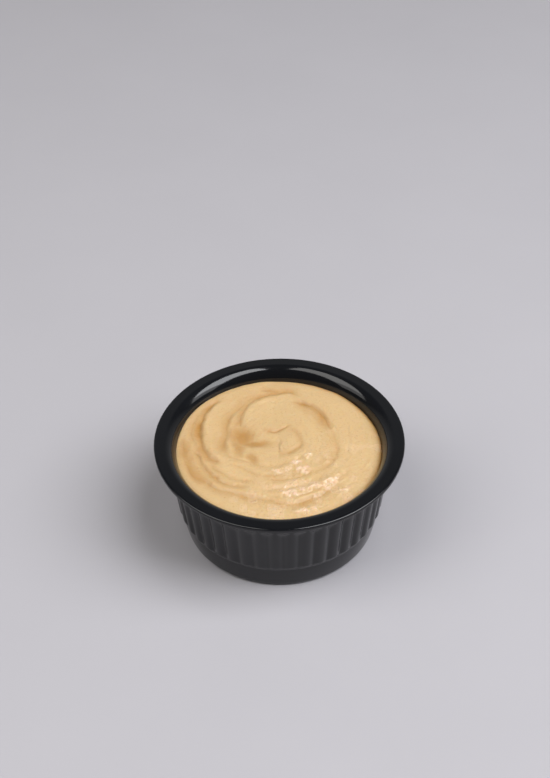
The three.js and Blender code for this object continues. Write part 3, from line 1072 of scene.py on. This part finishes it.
@dataclass
class HummusFilling:
    """The hummus, from the ramekin's floor up to its spooned surface.

    Attributes:
        ramekin: What it fills.
        level: Height where the surface meets the wall, at the front and back.
        tilt: Height gained for each millimetre towards +X.
        pressure: How unevenly the spoon pressed.
        wander: How far the creases stray from their smooth paths.
        fine_wander: How far they stray in short waves, as a share of that.
        edge_wave: How unevenly the paste was wiped along the wall.
        edge_ripple: Its short waves, as a share of that.
        edge_blend: Width over which the uneven edge levels out.
        edge_droop: How far the surface on the right stands above its edge on the wall. It
            goes by the angle alone, so the surface has a step as high at its very middle.
        edge_width: Width of the droop to that edge, and of the painted shade along the wall.
        edge_shade: The painted shade along the wall, and what the right side adds to it.
        right_side: Cosines of the angle from +X between which the right begins.
        relief_from: Distance from the wall where the relief is full.
        into_wall: How far the filling's edge reaches into the wall, so that no gap shows.
        cells: Quads across the surface, which are about 0.24 mm wide.
        corner_steps: Steps of the hidden corner over the floor.
        skin: The relief between the strokes.
        finish: What it is made of.
    """

    ramekin: Ramekin
    level: float = 31.95
    tilt: float = -0.018
    pressure: float = 0.45
    wander: float = 0.45
    fine_wander: float = 0.35
    edge_wave: float = 0.16
    edge_ripple: float = 0.3
    edge_blend: float = 1.4
    edge_droop: float = 0.7
    edge_width: float = 1.1
    edge_shade: tuple[float, float] = (0.2, 0.7)
    right_side: tuple[float, float] = (-0.2, 0.7)
    relief_from: float = 2.2
    into_wall: float = 0.04
    cells: int = 288
    corner_steps: int = 4
    skin: PasteSkin = PasteSkin()
    finish: ChickpeaPuree = ChickpeaPuree()

    def disc(self) -> tuple[Array, Array]:
        """Spreads a square grid of points evenly over a disc.

        Returns:
            Each point's distance from the middle, from 0 to 1, and its angle, as square
            arrays whose outer rows and columns lie on the disc's edge.
        """
        line = np.linspace(-1, 1, self.cells + 1)
        a, b = np.meshgrid(line, line)
        flat = np.abs(a) > np.abs(b)
        main = np.where(flat, a, b)
        side = np.where(flat, b, a) / np.where(main == 0, 1, main) * math.pi / 4
        angle = np.where(flat, side, math.pi / 2 - side)
        return np.abs(main), np.where(main < 0, angle + math.pi, angle)

    def edge_height(self, angle: Array) -> Array:
        """Height where the surface meets the wall, at an angle from +X."""
        reach = self.ramekin.roll_radius(self.level, 0)
        u, v = reach * np.cos(angle), reach * np.sin(angle)
        ripple = self.edge_ripple * PATTERNS["wiped edge, fine"].at(u, v)
        wave = PATTERNS["wiped edge"].at(u, v) + ripple
        return self.level + self.tilt * u + self.edge_wave * wave

    def creases(self, x: Array, y: Array) -> tuple[Array, Array]:
        """Works out what the spoon left.

        Args:
            x: The places' first coordinates.
            y: Their second coordinates.

        Returns:
            The relief's height, and how much painted shade, in the hollow's colour, shows.
        """
        relief, tint = np.zeros_like(x), np.zeros_like(x)
        strength = 1 + self.pressure * PATTERNS["pressure"].at(x, y)
        fine = self.fine_wander * self.wander
        x, y = (place + self.wander * PATTERNS[f"wander in {axis}"].at(x, y)
                + fine * PATTERNS[f"wander in {axis}, fine"].at(x, y)
                for place, axis in ((x, "x"), (y, "y")))
        for stroke in STROKES.values():
            height, colour = stroke.press(x, y, strength)
            relief += height
            tint = np.maximum(tint, colour)
        for hollow in HOLLOWS:
            share = hollow.share(x, y)
            relief -= hollow.depth * share
            tint = np.maximum(tint, hollow.tint * share)
        for ridge in MOIST_RIDGES:
            relief -= ridge.depth * ridge.share(x, y)
        return relief, tint

    def surface(self) -> tuple[Array, Array]:
        """Works out the top.

        Returns:
            Its points, row by row, and the painted shade at each, in the hollow's colour.
        """
        share, angle = self.disc()
        edge_height = self.edge_height(angle)
        edge = self.ramekin.roll_radius(edge_height, -self.into_wall)
        x, y = share * edge * np.cos(angle), share * edge * np.sin(angle)
        off_wall = (1 - share) * edge
        relief, tint = self.creases(x, y)
        relief = (relief + self.skin.relief(x, y)) * smoothstep(off_wall, 0, self.relief_from)
        right = smoothstep(np.cos(angle), *self.right_side)
        above_droop = self.edge_droop * right * (1 - np.exp(-off_wall / self.edge_width))
        uneven = edge_height - self.level - self.tilt * edge * np.cos(angle)
        height = self.level + self.tilt * x + uneven * np.exp(-off_wall / self.edge_blend)
        # Painted shade: a dark line along the wall, darker on the right.
        wall_shade = self.edge_shade[0] + self.edge_shade[1] * right
        tint = np.maximum(tint, wall_shade * np.exp(-(off_wall / self.edge_width) ** 2))
        points = np.stack([x, y, height + relief + above_droop], axis=-1)
        return points.reshape(-1, 3), tint.ravel()

    def build(self) -> bpy.types.Object:
        """Makes the closed filling, which stands for its solid.

        Returns:
            The finished object.
        """
        top, top_tint = self.surface()
        side = self.cells + 1
        grid = np.arange(side * side).reshape(side, side)
        rim = np.concatenate([grid[0, :-1], grid[:-1, -1], grid[-1, :0:-1], grid[:0:-1, 0]])
        angles = np.arctan2(top[rim, 1], top[rim, 0])
        wall_top = self.ramekin.wall_top
        under = np.array([(self.ramekin.roll_radius(wall_top, -self.into_wall), wall_top),
                          *self.ramekin.inner_outline(-self.into_wall, self.corner_steps)])
        rings = np.stack([under[:, :1] * np.cos(angles), under[:, :1] * np.sin(angles),
                          under[:, 1:] + 0 * angles], axis=-1).reshape(-1, 3)
        points = np.concatenate([top, rings, [[0, 0, self.ramekin.floor]]])

        faces = grid_faces(side, side, closed=False)
        below = rim.tolist()
        for row in range(len(under)):
            above, first = below, len(top) + row * len(rim)
            below = list(range(first, first + len(rim)))
            faces += [(below[i - 1], below[i], above[i], above[i - 1]) for i in range(len(rim))]
        faces += [(below[i], below[i - 1], len(points) - 1) for i in range(len(rim))]
        obj = mesh_object("hummus_filling", points, faces)
        tint = np.zeros(len(points))
        tint[:len(top)] = top_tint
        # The groove attribute carries the painted shade.
        set_attribute(obj, "groove", tint)
        # The wet attribute sets the roughness and, where it is high, the painted glint.
        set_attribute(obj, "wet", self.skin.wetness(points[:, 0], points[:, 1]))
        obj.data.materials.append(self.finish.material())
        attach(obj, BODY)
        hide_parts("hummus")
        return obj


# ---- Studio -----------------------------------------------------------------------------


class Side(Enum):
    """Which side of the object a light stands on: the sign of its X."""

    LEFT = -1
    RIGHT = 1


@dataclass(frozen=True)
class SoftBox:
    """A large slanted soft light over one side of the table, in metres.

    Attributes:
        side: On which side it stands.
        part: What it is called.
        low: Distance to the side and height of its lower edge.
        high: Distance to the side and height of its upper edge.
        back: How far behind the object its back edge is.
        front: How far in front of the object its front edge is.
        radiance: How bright its face is.
        colour: The light's tint.
    """

    side: Side
    part: str
    low: tuple[float, float]
    high: tuple[float, float]
    back: float
    front: float
    radiance: float
    colour: str

    def build(self) -> bpy.types.Object:
        """Makes the light, facing the object."""
        name = f"softbox_{self.side.name.lower()}_{self.part}"
        sign = self.side.value
        low = Vector((sign * self.low[0], 0, self.low[1]))
        high = Vector((sign * self.high[0], 0, self.high[1]))
        light = bpy.data.lights.new(name, "AREA")
        light.shape = "RECTANGLE"
        light.size = (high - low).length
        light.size_y = self.back + self.front
        light.energy = self.radiance * math.pi * light.size * light.size_y
        light.color = linear(self.colour)[:3]
        x_axis = (high - low).normalized()
        y_axis = Vector((0, -sign, 0))
        turn = Matrix((x_axis, y_axis, x_axis.cross(y_axis))).transposed().to_4x4()
        middle = (low + high) / 2 + Vector((0, (self.back - self.front) / 2, 0))
        obj = bpy.data.objects.new(name, light)
        obj.matrix_world = Matrix.Translation(middle) @ turn
        bpy.context.scene.collection.objects.link(obj)
        return obj


@dataclass(frozen=True)
class Studio:
    """The pale floor, softboxes on both sides and a dim room.

    Attributes:
        floor_half: Half the floor's size, in metres.
        room: Brightness of the room, from the ceiling and the front to the back wall's foot.
        room_slope: How that place, from 0 to 1, grows towards the back and downwards.
        paper: What the floor is made of.
        lights: The softboxes.
    """

    floor_half: float = 3.0
    room: tuple[tuple[float, float], ...] = (
        (0.0, 0.02), (0.45, 0.03), (0.56, 0.22), (1.0, 0.5))
    room_slope: tuple[float, float, float] = (0.0, 0.5, -0.5)
    paper: PaleBackdrop = PaleBackdrop()
    lights: tuple[SoftBox, ...] = (
        SoftBox(Side.RIGHT, "key", (1.24, 0.88), (0.2, 1.48), 0.16, 0.74, 8.0, "#fbfcff"),
        SoftBox(Side.RIGHT, "skirt", (1.76, 0.59), (1.24, 0.88), 0.16, 0.74, 2.2, "#fbfcff"),
        SoftBox(Side.LEFT, "key", (1.24, 0.88), (0.2, 1.48), 0.16, 0.74, 3.7, "#fffdfa"),
        SoftBox(Side.LEFT, "skirt", (1.76, 0.59), (1.24, 0.88), 0.16, 0.74, 1.6, "#fffdfa"),
    )

    def build(self) -> None:
        """Makes the floor, the lights and the room."""
        half = self.floor_half / MM
        corners = np.array([[-half, -half, 0], [half, -half, 0], [half, half, 0], [-half, half, 0]])
        floor = mesh_object("floor", corners, [(0, 1, 2, 3)])
        floor.data.materials.append(self.paper.material())
        for light in self.lights:
            light.build()
        self.build_room()

    def build_room(self) -> None:
        """Makes the world: a lit back wall, a dark ceiling and a dark front."""
        world = bpy.data.worlds.new("dim_room")
        world.use_nodes = True
        tree = world.node_tree
        tree.nodes.clear()
        place = add_node(tree, "ShaderNodeTexCoord").outputs["Generated"]
        way = add_node(tree, "ShaderNodeVectorMath", {
            0: place, 1: self.room_slope}, operation="DOT_PRODUCT")
        halfway = 0.5
        share = add_node(tree, "ShaderNodeMath", {
            0: way.outputs["Value"], 1: halfway}, operation="ADD")
        fall = add_node(tree, "ShaderNodeValToRGB", {"Fac": share.outputs["Value"]})
        ramp_stops(fall, dict(self.room))
        glow = add_node(tree, "ShaderNodeBackground", {
            "Color": fall.outputs["Color"], "Strength": 1.0})
        add_node(tree, "ShaderNodeOutputWorld", {"Surface": glow.outputs["Background"]})
        bpy.context.scene.world = world


@dataclass(frozen=True)
class ReferenceCamera:
    """The camera at the reference view, as a pinhole fitted to the rim and the base.

    Attributes:
        image: The frame's width and height, in pixels.
        focal: Focal length, in pixels.
        pitch: How far it looks down, in degrees.
        place: Where it stands, in millimetres.
        roll: How far it leans clockwise, in degrees.
        sensor: The sensor's long side, in millimetres.
        clip: Nearest and furthest distance that it sees, in metres.
    """

    image: tuple[int, int] = (550, 778)
    focal: float = 1400.0
    pitch: float = 41.07
    place: tuple[float, float, float] = (-1.07, -338.4, 353.05)
    roll: float = 1.08
    sensor: float = 36.0
    clip: tuple[float, float] = (0.01, 20.0)

    def build(self) -> bpy.types.Object:
        """Makes the camera and gives it to the scene."""
        data = bpy.data.cameras.new("reference_view")
        data.sensor_width = self.sensor
        data.lens = self.focal / max(self.image) * self.sensor
        data.clip_start, data.clip_end = self.clip
        pitch, roll = math.radians(self.pitch), math.radians(self.roll)
        right = Vector((1, 0, 0))
        up = Vector((0, math.sin(pitch), math.cos(pitch)))
        back = Vector((0, -math.cos(pitch), math.sin(pitch)))
        leaning_right = right * math.cos(roll) - up * math.sin(roll)
        leaning_up = right * math.sin(roll) + up * math.cos(roll)
        obj = bpy.data.objects.new("reference_view", data)
        turn = Matrix((leaning_right, leaning_up, back)).transposed().to_4x4()
        obj.matrix_world = Matrix.Translation(Vector(self.place) * MM) @ turn
        bpy.context.scene.collection.objects.link(obj)
        bpy.context.scene.camera = obj
        return obj


# ---- All together -----------------------------------------------------------------------


def main() -> None:
    """Builds the object and its studio, and notes the sizes of both models."""
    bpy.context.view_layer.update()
    bpy.context.scene.view_settings.view_transform = "Standard"
    ReferenceCamera().build()
    Studio().build()

    ramekin = Ramekin()
    cup = ramekin.build()
    LOG.info("%s: %d faces", cup.name, len(cup.data.polygons))
    filling = HummusFilling(ramekin).build()
    LOG.info("%s: %d faces", filling.name, len(filling.data.polygons))

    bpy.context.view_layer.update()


if __name__ == "__main__":
    logging.basicConfig(level=logging.INFO, format="%(name)s: %(message)s")
    main()
